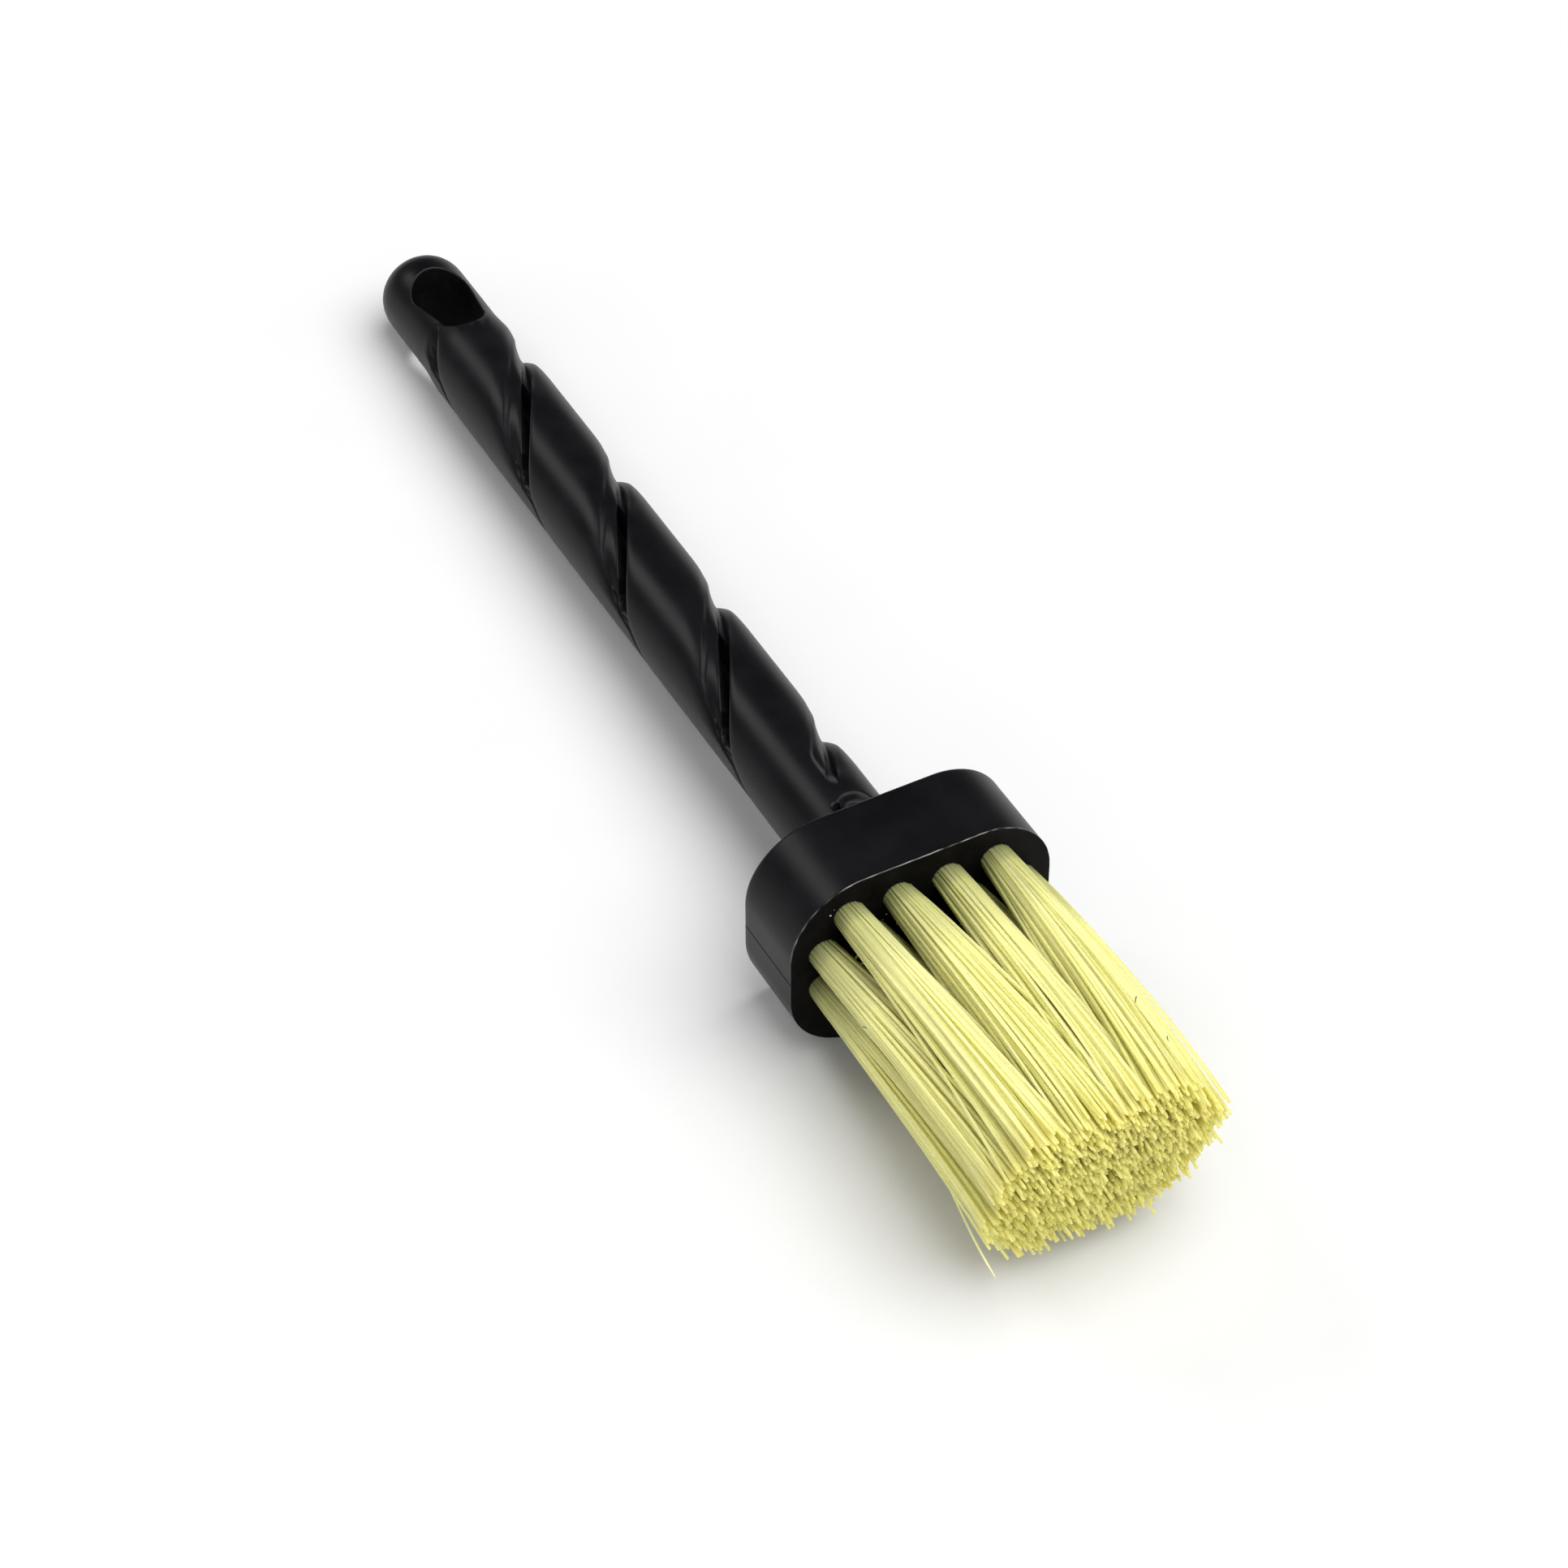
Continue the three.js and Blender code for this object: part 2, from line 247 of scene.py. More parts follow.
nylon = {
    # along a filament, from its root to its tip; the dark greenish root end is painted shade where
    # the filaments crowd into the head, and the slightly darker, more olive tip is painted shade
    # of the cut ends
    "colours": [
        (0.0, (0.42, 0.44, 0.20, 1)),
        (0.07, (0.81, 0.81, 0.45, 1)),
        (0.3, (0.992, 0.985, 0.69, 1)),
        (0.91, (0.992, 0.985, 0.69, 1)),
        (1.0, (0.95, 0.925, 0.54, 1)),
    ],
    "deeper": (0.96, 0.95, 0.76, 1),    # what the filaments of deeper tone are multiplied by
    "streaks": 1500,
    "roughFrom": 0.47,
    "roughTo": 0.65,
    "gloss": 0.22,
    "through": 0.66,                    # share of the light that comes through from behind
}


def paleNylon(name):
    material, tree, shader = newMaterial(name)
    link = tree.links.new
    along = node(tree, "ShaderNodeAttribute", (-1100, 250), attribute_name="along")
    tone = node(tree, "ShaderNodeAttribute", (-1100, 0), attribute_name="tone")
    # the ramp along each filament carries painted shade at the root and at the tip
    colours = colourRamp(tree, (-850, 250), along.outputs["Fac"], nylon["colours"])
    paint = node(tree, "ShaderNodeMix", (-500, 250), {"B": nylon["deeper"]},
                 data_type="RGBA", blend_type="MULTIPLY")
    link(tone.outputs["Fac"], paint.inputs["Factor"])
    link(colours, paint.inputs["A"])
    link(paint.outputs["Result"], shader.inputs["Base Color"])
    place = node(tree, "ShaderNodeTexCoord", (-1100, -250)).outputs["Object"]
    streaks = noisePattern(tree, (-850, -250), place, nylon["streaks"])
    roughnessFrom(tree, (-600, -100), streaks, nylon["roughFrom"], nylon["roughTo"])
    setSockets(shader, {"Specular IOR Level": nylon["gloss"]})
    glow = node(tree, "ShaderNodeBsdfTranslucent", (-100, -200))
    link(paint.outputs["Result"], glow.inputs["Color"])
    both = node(tree, "ShaderNodeMixShader", (150, 0), {"Fac": nylon["through"]})
    link(shader.outputs["BSDF"], both.inputs[1])
    link(glow.outputs["BSDF"], both.inputs[2])
    link(both.outputs["Shader"], tree.nodes["Material Output"].inputs["Surface"])
    return material


wire = {
    "dark": (0.30, 0.30, 0.29, 1),
    "light": (0.62, 0.61, 0.58, 1),
    "lines": 900,
    "squeeze": (8, 0.5, 8),    # turns the marks into lines
    "lineHeight": 0.01,
    "lineStrength": 0.3,
    "rough": 0.34,
}


def drawnSteel(name):
    material, tree, shader = newMaterial(name)
    place = node(tree, "ShaderNodeTexCoord", (-1100, 0)).outputs["Object"]
    squeeze = node(tree, "ShaderNodeMapping", (-900, 0), {"Scale": wire["squeeze"]})
    tree.links.new(place, squeeze.inputs["Vector"])
    lines = noisePattern(tree, (-700, 0), squeeze.outputs["Vector"], wire["lines"], 4)
    colours = colourRamp(tree, (-450, 100), lines, [(0, wire["dark"]), (1, wire["light"])])
    tree.links.new(colours, shader.inputs["Base Color"])
    bump = bumpFrom(tree, (-450, -200), lines, wire["lineStrength"], wire["lineHeight"])
    tree.links.new(bump.outputs["Normal"], shader.inputs["Normal"])
    setSockets(shader, {"Metallic": 1, "Roughness": wire["rough"]})
    return material


plasticFinish = mouldedPlastic("black_moulded_plastic")
mattAndShadeFinish = mattPlasticAndShade("black_matt_plastic_and_painted_shade")
nylonFinish = paleNylon("pale_nylon_filament")
steelFinish = drawnSteel("drawn_steel_wire")
print("finishes made")

handle = {
    "radius": 4.85,
    "endRadius": 4.55,
    "endLength": 12.0,
    "endBlend": 4.0,
    "domeLength": 4.2,
    "domeRoundness": 2.4,
    "neckLength": 2.6,
    "neckFlare": 1.0,
    "pitch": 21.2,
    "twistStart": 18.0,
    "wander": 1.3,
    "columns": 160,
    "twistFrom": 12.4,         # from the hanging end
    "twistTo": 6.5,            # from the back of the head
    "fadeIn": (12.5, 16.5),    # grooves deepen here, from the hanging end
    "fadeOut": (0.2, 3.2),     # and fade here, from the twist's other end
}
# a shallow recess in the top of the neck and a pit at its edge, turns in degrees
recess = {
    "fromHead": 2.85,
    "turn": 81,
    "halfLength": 2.95,
    "halfTurn": 26,
    "squareness": 2.6,
    "edge": 0.74,
    "depth": 0.8,
}
pit = {
    "fromHead": 4.75,
    "turn": 104,
    "halfLength": 0.45,
    "halfTurn": 6.5,
    "edge": 0.5,
    "depth": 1.0,
}
head = {
    "depth": 9.0,
    "width": 26.6,
    "height": 19.6,
    "corner": 7.4,
    "cornerSteps": 24,
    "flatSteps": 16,
    "backRound": 0.5,
    "partingZ": -0.2,          # from the middle of its height
    "partingDepth": 0.3,
    "holeRadius": 1.5,
    "holeFloor": 2.0,
    "holeSides": 40,
    "holeMouth": [(0, 0.08), (0.05, 0.02), (0.15, 0)],    # depth, and how much wider there
    "sharpFrom": 48,           # edges that bend more than this many degrees stay sharp
}
backX = faceX - head["depth"]

# where the edges of a groove lie along the handle, mm, at turns about it in degrees
grooveEdges = {
    "turn": [0, 60, 78, 90, 105, 116, 135, 149, 155, 164, 170, 175, 180],
    "crease": [-4.2, -4.5, -4.9, -5.2, -5.5, -5.7, -6.1, -5.6, -5.0, -4.2, -3.5, -3.2, -4.2],
    "slitLow": [-0.7, -0.9, -1.5, -1.95, -2.2, -2.3, -2.6, -2.85, -3.0, -3.1, -2.8, -2.2, -0.7],
    "slitHigh": [0.15, 0.2, 0.4, 0.4, 0.25, 0.18, 0.0, -0.18, -0.25, -0.35, -0.35, -0.3, 0.15],
}
# depth of the groove at its fifteen edges, mm
grooveDepths = {
    "valley": [0, 0.05, 0.14, 0.2, 0.3, 0.66, 1.05, 1.1, 1.12, 1.12, 1.0, 0.6, 0.22, 0.05, 0],
    "facet": [0, 0.06, 0.13, 0.19, 0.50, 0.56, 0.62, 0.74, 0.9, 0.9, 0.12, 0.02, 0, 0, 0],
    "trace": [0, 0, 0.01, 0.02, 0.03, 0.05, 0.08, 0.12, 0.18, 0.27, 0.2, 0.05, 0, 0, 0],
    "none": [0] * 15,
}
# which of those holds at which turn; between them they blend
grooveAround = [
    (0, "valley"), (58, "valley"), (86, "facet"), (162, "facet"), (174, "trace"),
    (196, "trace"), (214, "none"), (226, "none"), (256, "valley"), (268, "facet"),
    (340, "facet"), (352, "valley"), (360, "valley"),
]
# the narrow slits in the grooves, by turn in degrees
slits = {
    "depth": 3.1,
    "opens": (79, 85),
    "closes": (160, 171),
    "farSideOpens": (258, 274),
    "fadeIn": (21, 24),        # mm from the hanging end
}
lastHook = {"groove": 3, "fade": (84, 97), "upTo": 220}    # the last groove's rounded end


def plainRadius(x):
    fromEnd = x - endX
    radius = handle["endRadius"] + (handle["radius"] - handle["endRadius"]) * smooth(
        handle["endLength"], handle["endLength"] + handle["endBlend"], fromEnd)
    share = np.clip(1 - (fromEnd + 0.02) / handle["domeLength"], 0, 1)
    dome = (1 - share ** handle["domeRoundness"]) ** (1 / handle["domeRoundness"])
    neck = np.clip((x - backX + handle["neckLength"]) / handle["neckLength"], 0, 1)
    return radius * dome + handle["neckFlare"] * neck * neck


def groovePath(order, turn):
    return (endX + handle["twistStart"] + (order + turn / math.pi) * handle["pitch"]
            - handle["wander"] * np.sin(2 * turn))


def grooveGrid():
    # across-the-groove places and depths for every column of the handle
    columns = handle["columns"]
    degrees = np.arange(columns) * 360 / columns
    half = degrees % 180
    crease = np.interp(half, grooveEdges["turn"], grooveEdges["crease"])
    low = np.interp(half, grooveEdges["turn"], grooveEdges["slitLow"])
    high = np.interp(half, grooveEdges["turn"], grooveEdges["slitHigh"])
    across = np.array([
        crease - 3.0, crease - 1.3, crease - 0.5, crease, crease + 0.8,
        (crease + low) / 2, low - 0.3, low, low + 0.07, high - 0.07, high,
        high + 0.4, high + 1.1, high + 2.6, high + 4.2,
    ])
    rows = [grooveDepths[name] for _, name in grooveAround]
    depth = easedTable(degrees, [t for t, _ in grooveAround], rows).T
    slit = smooth(*slits["opens"], half) * (1 - smooth(*slits["closes"], half))
    slit = slit * np.where(degrees > 200, smooth(*slits["farSideOpens"], degrees), 1)
    across = np.vstack([across, across[:1] + handle["pitch"]])
    depth = np.vstack([depth, depth[:1] * 0])
    parts = [3, 3, 2, 3, 3, 3, 2, 1, 3, 1, 2, 2, 3, 3, 4]    # mesh rows between those places
    places, depths = monotoneCurve(across, depth, parts)
    firstFloor = sum(parts[:8])
    slitRows = np.zeros(len(places))
    slitRows[firstFloor:firstFloor + 4] = 1
    return places, depths, slitRows, slit


def neckDip(x, degrees):
    # how far the recess and the pit sink the neck all the way round at one place
    power = recess["squareness"]
    along = abs(x - (backX - recess["fromHead"])) / recess["halfLength"]
    around = np.abs(degrees - recess["turn"]) / recess["halfTurn"]
    inRecess = (along ** power + around ** power) ** (1 / power)
    inPit = np.hypot((x - (backX - pit["fromHead"])) / pit["halfLength"],
                     (degrees - pit["turn"]) / pit["halfTurn"])
    return np.maximum(recess["depth"] * (1 - smooth(recess["edge"], 1, inRecess)),
                      pit["depth"] * (1 - smooth(pit["edge"], 1, inPit)))


def handleSurface():
    # rings of the rounded end, the twist with mesh lines along its grooves, and the neck
    columns = handle["columns"]
    turns = np.arange(columns) * 2 * math.pi / columns
    degrees = np.degrees(turns)
    lowX = endX + handle["twistFrom"]
    highX = backX - handle["twistTo"]
    points, known, faces = [], {}, []

    def vertex(key, x, column, depth=0.0):
        if key not in known:
            known[key] = len(points)
            r = float(plainRadius(x)) - depth
            points.append((x, r * math.cos(turns[column]),
                           axisZ + r * math.sin(turns[column])))
        return known[key]

    def strip(lineA, lineB):
        for j in range(columns):
            ring = []
            for v in (lineA[j], lineA[j + 1], lineB[j + 1], lineB[j]):
                if v not in ring:
                    ring.append(v)
            if len(ring) > 2:
                faces.append(ring)

    def plainRing(x, tag, depths=None):
        ring = [vertex((tag, j), x, j, 0.0 if depths is None else float(depths[j]))
                for j in range(columns)]
        return ring + ring[:1]

    shares = [0, 0.01, 0.03, 0.07, 0.13, 0.21, 0.3, 0.4, 0.52, 0.65, 0.8]
    rings = [endX + share * handle["domeLength"] for share in shares]
    rings += list(np.linspace(endX + handle["domeLength"], lowX, 22))
    lines = [plainRing(x, "low" if x == rings[-1] else "end%d" % i)
             for i, x in enumerate(rings)]
    tip = lines[0][:-1]

    places, depths, slitRows, slit = grooveGrid()
    rowCount = len(places)
    for order in range(-5, 6):    # enough turns of both starts to reach past the ends
        x = groovePath(order, turns)[None, :] + places
        share = (smooth(*handle["fadeIn"], x - endX)
                 * smooth(*handle["fadeOut"], highX - x))
        deep = slitRows[:, None] * slit[None, :] * smooth(*slits["fadeIn"], x - endX)
        if order == lastHook["groove"]:
            top = degrees < lastHook["upTo"]
            share = share * np.where(top, 1 - smooth(*lastHook["fade"], degrees), 1)[None, :]
            deep = deep * np.where(top, 0, 1)[None, :]
        depth = (depths + deep * (slits["depth"] - depths)) * share
        for row in range(rowCount):
            for j in range(columns):
                if lowX + 1e-6 < x[row, j] < highX - 1e-6:
                    vertex((order, row, j), float(x[row, j]), j, float(depth[row, j]))

    def lineVertex(order, row, j):
        if j == columns:
            order, j = order + 2, 0
        if (order, row, j) in known:
            return known[(order, row, j)]
        low = groovePath(order, turns[j]) + places[row, j] < (lowX + highX) / 2
        return known[("low", j)] if low else highRing[j]

    highRing = plainRing(highX, "high")
    for order in range(-5, 4):
        for row in range(rowCount):
            lines.append([lineVertex(order, row, j) for j in range(columns + 1)])
    lines.append(highRing)

    for x in np.linspace(highX, backX, 34)[1:]:
        lines.append(plainRing(float(x), "neck%.4f" % x, neckDip(x, degrees)))
    for a, b in zip(lines, lines[1:]):
        strip(a, b)
    faces.append(tip[::-1])
    return points, faces, lines[-1][:-1]


def headOutline(inset, bulge=None):
    # the rounded outline of the head, with close points at the parting line on each end
    corner = head["corner"]
    halfW, halfH = head["width"] / 2, head["height"] / 2
    part = head["partingZ"]
    ends = [-1.2, -0.55, -0.22, -0.11, 0, 0.11, 0.22, 0.55, 1.2]
    ring, normals, nick = [], [], []

    def add(y, z, ny, nz, cut=0):
        ring.append((y, z))
        normals.append((ny, nz))
        nick.append(cut)

    def turnCorner(cy, cz, start):
        for k in range(head["cornerSteps"] + 1):
            a = math.radians(start + 90 * k / head["cornerSteps"])
            add(cy + corner * math.cos(a), cz + corner * math.sin(a), math.cos(a), math.sin(a))

    flat = [-1 + 2 * k / head["flatSteps"] for k in range(1, head["flatSteps"])]
    turnCorner(halfW - corner, halfH - corner, 0)
    for t in flat:
        add(-t * (halfW - corner), halfH, 0, 1)
    turnCorner(-(halfW - corner), halfH - corner, 90)
    for e in reversed(ends):
        add(-halfW, part + e, -1, 0, 1 if e == 0 else 0)
    turnCorner(-(halfW - corner), -(halfH - corner), 180)
    for t in flat:
        add(t * (halfW - corner), -halfH, 0, -1)
    turnCorner(halfW - corner, -(halfH - corner), 270)
    for e in ends:
        add(halfW, part + e, 1, 0, 1 if e == 0 else 0)
    out = []
    for i, ((y, z), (ny, nz)) in enumerate(zip(ring, normals)):
        d = inset + nick[i] * head["partingDepth"] - (0 if bulge is None else bulge[i])
        out.append((y - d * ny, axisZ + z - d * nz))
    return out


def tuftPlaces():
    # every tuft's middle, from the wire anchor in the bottom of its hole
    places = {}
    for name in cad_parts:
        if name.startswith("tuft_"):
            low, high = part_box("anchor_" + name[5:])
            places[name[5:]] = ((low.y + high.y) / 2 / mm, (low.z + high.z) / 2 / mm)
    return dict(sorted(places.items()))


def fillBetween(mesh, rings, towards):
    # a flat face between an outer ring and the rings inside it
    edges = []
    for ring in rings:
        for a, b in zip(ring, ring[1:] + ring[:1]):
            edges.append(mesh.edges.get((a, b)) or mesh.edges.new((a, b)))
    made = bmesh.ops.triangle_fill(mesh, edges=edges, use_beauty=True, normal=towards)
    for face in made["geom"]:
        if isinstance(face, bmesh.types.BMFace):
            face.smooth = False
            if face.normal.dot(towards) < 0:
                face.normal_flip()


hangingHole = {
    "wideAt": 7.8,      # from the hanging end
    "wideRadius": 3.0,
    "narrowAt": 12.7,
    "narrowRadius": 2.3,
    "rim": 0.22,        # radius of the rounded rim
    "rimTurn": 78,      # degrees of that radius that are cut
    "cutterTop": 9,     # out past the handle
}


def hangingHoleCutter():
    # an egg-shaped hole whose rim is rounded where it meets the handle
    wideX, narrowX = endX + hangingHole["wideAt"], endX + hangingHole["narrowAt"]
    wideR, narrowR = hangingHole["wideRadius"], hangingHole["narrowRadius"]
    lean = math.asin((wideR - narrowR) / (narrowX - wideX))
    arcs = [(wideX, wideR, math.pi / 2 - lean + (math.pi + 2 * lean) * k / 48)
            for k in range(49)]
    arcs += [(narrowX, narrowR, -math.pi / 2 - lean + math.pi * k / 32) for k in range(33)]
    outline = [(x + r * math.cos(a), r * math.sin(a), math.cos(a), math.sin(a))
               for x, r, a in arcs]
    rim = hangingHole["rim"]
    rimTurns = [math.radians(hangingHole["rimTurn"] * k / 6) for k in range(7)]
    levels = [(rim * (1 - math.cos(a)), rim * (1 - math.sin(a))) for a in rimTurns]
    sides = []
    for side in (-1, 1):
        rings = []
        for out, down in levels:
            ring = []
            for x, y, nx, ny in outline:
                px, py = x + nx * out, y + ny * out
                r = float(plainRadius(px))
                z = math.sqrt(max(r * r - py * py, 0.01)) - down
                ring.append((px, py, axisZ + side * z))
            rings.append(ring)
        out = levels[-1][0]
        top = axisZ + side * hangingHole["cutterTop"]
        rings.append([(x + nx * out, y + ny * out, top) for x, y, nx, ny in outline])
        sides.append(rings)
    order = sides[0][::-1] + sides[1]
    count = len(outline)
    points = [p for ring in order for p in ring]
    faces = []
    for i in range(len(order) - 1):
        for j in range(count):
            a, b = i * count + j, i * count + (j + 1) % count
            faces.append((a, b, b + count, a + count))
    faces.append(tuple(range(count))[::-1])
    faces.append(tuple(range((len(order) - 1) * count, len(order) * count)))
    cutter = addMesh("hole_cutter", points, faces)
    made = bmesh.new()
    made.from_mesh(cutter.data)
    bmesh.ops.remove_doubles(made, verts=made.verts, dist=0.01 * mm)
    bmesh.ops.recalc_face_normals(made, faces=made.faces)
    made.to_mesh(cutter.data)
    made.free()
    return cutter


# the thin ragged burr round the face, whitened in patches on its upper part
burr = {
    "height": 0.07,
    "least": 0.1,
    "usual": 0.5,
    "coarse": (1.7, 1.0),       # scale of the raggedness, and how much of it
    "fine": (5.3, 0.9),
    "lowerShare": 0.12,         # what is left of it on the lower part of the head
    "upperFrom": (1.0, 6.0),    # mm above the middle
    # back from the face, inset, and share of the height
    "steps": [(0.14, 0, 0.1), (0.10, 0, 0.7), (0.05, 0, 1.0), (0.015, 0, 0.7), (0, 0.05, 0.3)],
    "scuffBand": (0.005, 0.11),
    "scuffUsual": 0.4,
    "scuffCoarse": (1.1, 1.1),
    "scuffFine": (4.7, 0.5),
    "scuffUpperFrom": (1, 7),
}


def raggedness(kind, y, z, seed):
    scale, amount = burr[kind]
    return amount * noise.noise(Vector((y * scale, z * scale, seed)))


def burrHeights():
    heights = []
    for y, z in headOutline(0):
        ragged = burr["usual"] + raggedness("coarse", y, z, 3.1) + raggedness("fine", y, z, 8.7)
        upper = float(smooth(*burr["upperFrom"], z - axisZ))
        share = burr["lowerShare"] + (1 - burr["lowerShare"]) * upper
        heights.append(burr["height"] * max(burr["least"], ragged) * share)
    return np.array(heights)


def headRings(made):
    # from the rounded back edge of the head to the burr round its face
    rounds = head["backRound"]
    stations = []
    for k in range(7):
        a = math.radians(90 * k / 6)
        stations.append((backX + rounds * (1 - math.cos(a)), rounds * (1 - math.sin(a)), 0))
    for x in np.linspace(backX + rounds, faceX - 0.32, 14)[1:]:
        stations.append((x, 0, 0))
    stations += [(faceX - back, inset, share) for back, inset, share in burr["steps"]]
    heights = burrHeights()
    rings = []
    for x, inset, share in stations:
        outline = headOutline(inset, heights * share)
        rings.append([made.verts.new(Vector((x, y, z)) * mm) for y, z in outline])
    count = len(heights)
    for a, b in zip(rings, rings[1:]):
        for j in range(count):
            k = (j + 1) % count
            made.faces.new((a[j], a[k], b[k], b[j]))
    return rings


def drillHole(made, y, z):
    # one tuft's hole, its mouth a little wider; gives back its ring on the face
    steps = [(faceX - back, head["holeRadius"] + wider) for back, wider in head["holeMouth"]]
    steps.append((backX + head["holeFloor"], head["holeRadius"]))
    sides = head["holeSides"]
    walls = []
    for x, radius in steps:
        ring = []
        for k in range(sides):
            a = 2 * math.pi * k / sides
            at = Vector((x, y + radius * math.cos(a), z + radius * math.sin(a)))
            ring.append(made.verts.new(at * mm))
        walls.append(ring)
    for a, b in zip(walls, walls[1:]):
        for j in range(sides):
            k = (j + 1) % sides
            made.faces.new((a[j], b[j], b[k], a[k])).smooth = True
    made.faces.new(walls[-1])
    return walls[0]


def scuffBurr(mesh):
    nearest, furthest = burr["scuffBand"]
    values = []
    for v in mesh.vertices:
        x, y, z = v.co / mm
        value = 0
        if faceX - furthest < x < faceX - nearest:
            patch = burr["scuffUsual"] + raggedness("scuffCoarse", y, z, 1.0)
            patch += raggedness("scuffFine", y, z, 5.0)
            upper = float(smooth(*burr["scuffUpperFrom"], z - axisZ))
            value = max(0, min(1, patch)) * upper
        values.append(value)
    pointValues(mesh, "scuff", values)


# the matt finish, on the face and as painted shade deep in the grooves, slits and holes, starts
# this far under the handle's plain surface, or this near the face
mattAndShadeFrom = {
    "hangingHole": 0.35,
    "slit": 0.98,
    "groove": 1.35,
    "slitTurns": (84, 166),
    "holeWall": 1.7,           # from a tuft's middle
    "upperFace": 0.005,
    "lowerFace": 0.012,        # how near the face
}


def chooseFinishes(mesh):
    mesh.materials.clear()
    mesh.materials.append(plasticFinish)
    mesh.materials.append(mattAndShadeFinish)
    holes = list(tuftPlaces().values())
    firstTurn, lastTurn = mattAndShadeFrom["slitTurns"]
    for face in mesh.polygons:
        x, y, z = face.center / mm
        sunk = float(plainRadius(x)) - math.hypot(y, z - axisZ)
        half = math.degrees(math.atan2(z - axisZ, y)) % 180
        least = mattAndShadeFrom["slit"] if firstTurn < half < lastTurn else mattAndShadeFrom["groove"]
        if x < endX + 15.5:    # past the hanging hole
            least = mattAndShadeFrom["hangingHole"]
        # painted shade: faces sunk past these depths into grooves, slits and the hanging hole, and
        # the tuft holes' walls, take the darker matt plastic
        inHandle = x < backX - 0.5 and sunk > least
        inHole = x > backX + 1 and any(
            math.hypot(y - a, z - b) < mattAndShadeFrom["holeWall"] for a, b in holes)
        # below the upper part the burr's last narrow ring is matt too, painted shade that dulls
        # the highlight along its edge
        edge = mattAndShadeFrom["upperFace"] if z > axisZ + 3 else mattAndShadeFrom["lowerFace"]
        face.material_index = 1 if inHandle or inHole or x > faceX - edge else 0


def makeMoulding():
    points, faces, neckRing = handleSurface()
    made = bmesh.new()
    verts = [made.verts.new(Vector(p) * mm) for p in points]
    for face in faces:
        made.faces.new([verts[v] for v in face])
    rings = headRings(made)
    for face in made.faces:
        face.smooth = True
    holes = [drillHole(made, y, z) for y, z in tuftPlaces().values()]
    fillBetween(made, [rings[-1]] + holes, Vector((1, 0, 0)))
    fillBetween(made, [rings[0], [verts[v] for v in neckRing]], Vector((-1, 0, 0)))
    bmesh.ops.recalc_face_normals(made, faces=made.faces)
    mesh = bpy.data.meshes.new("moulding")
    made.to_mesh(mesh)
    made.free()
    obj = showMesh("handle_and_head", mesh)

    cutter = hangingHoleCutter()
    cut = obj.modifiers.new("hanging_hole", "BOOLEAN")
    cut.object = cutter
    cut.operation = "DIFFERENCE"
    cut.solver = "EXACT"
    applyModifiers(obj)
    bpy.data.objects.remove(cutter)
    obj.data.set_sharp_from_angle(angle=math.radians(head["sharpFrom"]))
    for face in obj.data.polygons:    # the flat back and face stay flat
        if abs(face.normal.x) > 0.9999:
            face.use_smooth = False
    scuffBurr(obj.data)
    chooseFinishes(obj.data)
    return obj


moulding = makeMoulding()
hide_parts("handle_body")
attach(moulding, "root")
print("handle and head made", len(moulding.data.polygons))

bristle = {
    "perTuft": 185,
    "diameter": 0.26,
    "thickScatter": 0.06,
    "tipThicker": 1.12,
    "lastRing": 0.6,      # the last ring is drawn in, so tips look cut and rounded
    "tipRounding": 0.08,
    "rings": 14,
    "sides": 8,
    "rootRadius": 1.36,
    "tipRadius": 3.2,
    "spreadEase": 0.86,
    "gatherSide": 0.21,   # share by which the tufts draw together sideways at their tips
    "gatherUp": 0.08,
    "lean": 0.9,          # sideways, mm, soon after the root
    "sag": -1.1,          # sideways, mm, all near the tips
    "length": 31.5,
    "uneven": 0.40,       # mm of scatter in where the tips end
    "shortShare": 0.07,
    "shortBy": 1.6,       # mm at most
    "crowned": 0.10,      # mm by which the outer filaments of a tuft are shorter
    "clumps": 8,          # filaments of a tuft draw towards so many middles
    "clumpSpread": 0.85,
    "clumpShift": 0.35,
    "clumpPull": 0.15,
    "tipStretch": 0.06,
    "tipScatter": 0.34,
    "strayShare": 0.03,
    "strayReach": 0.8,
    "bow": 0.30,
}
# how far each row's tips stand past the mean, mm
layerReach = {"top": 1.6, "upper": 1.3, "lower": 0.3, "bottom": -0.6}


def tubes(paths, radius, sides):
    # one mesh of round filaments along the given paths, with a strip of texture space each
    count, rings, _ = paths.shape
    angles = np.arange(sides) * 2 * math.pi / sides
    circle = np.stack([np.zeros(sides), np.cos(angles), np.sin(angles)], 1)
    points = (paths[:, :, None, :] + radius[:, :, None, None] * circle).reshape(-1, 3)
    faces, places = [], []

    def endPlaces(left, wide, height, turns):
        return [(left + wide * (0.5 + 0.5 * math.cos(t)), height + 0.006 * math.sin(t))
                for t in turns]

    for i in range(count):
        base = i * rings * sides
        left, wide = i / count, 0.9 / count
        for r in range(rings - 1):
            low, high = (0.02 + 0.95 * k / (rings - 1) for k in (r, r + 1))
            for s in range(sides):
                a = base + r * sides + s
                b = base + r * sides + (s + 1) % sides
                faces.append((a, b, b + sides, a + sides))
                near, far = (left + wide * k / sides for k in (s, s + 1))
                places += [(near, low), (far, low), (far, high), (near, high)]
        last = base + (rings - 1) * sides
        faces.append(tuple(base + s for s in reversed(range(sides))))
        places += endPlaces(left, wide, 0.008, angles[::-1])
        faces.append(tuple(last + s for s in range(sides)))
        places += endPlaces(left, wide, 0.985, angles)
    return points, faces, places


def sunflower(count, rng):
    # evenly spread places in a unit circle, slightly shaken
    k = np.arange(count) + 0.5
    r = np.sqrt(k / count)
    a = k * math.pi * (3 - math.sqrt(5))
    spread = np.stack([r * np.cos(a), r * np.sin(a)], 1)
    return spread + rng.normal(0, 0.02, spread.shape)


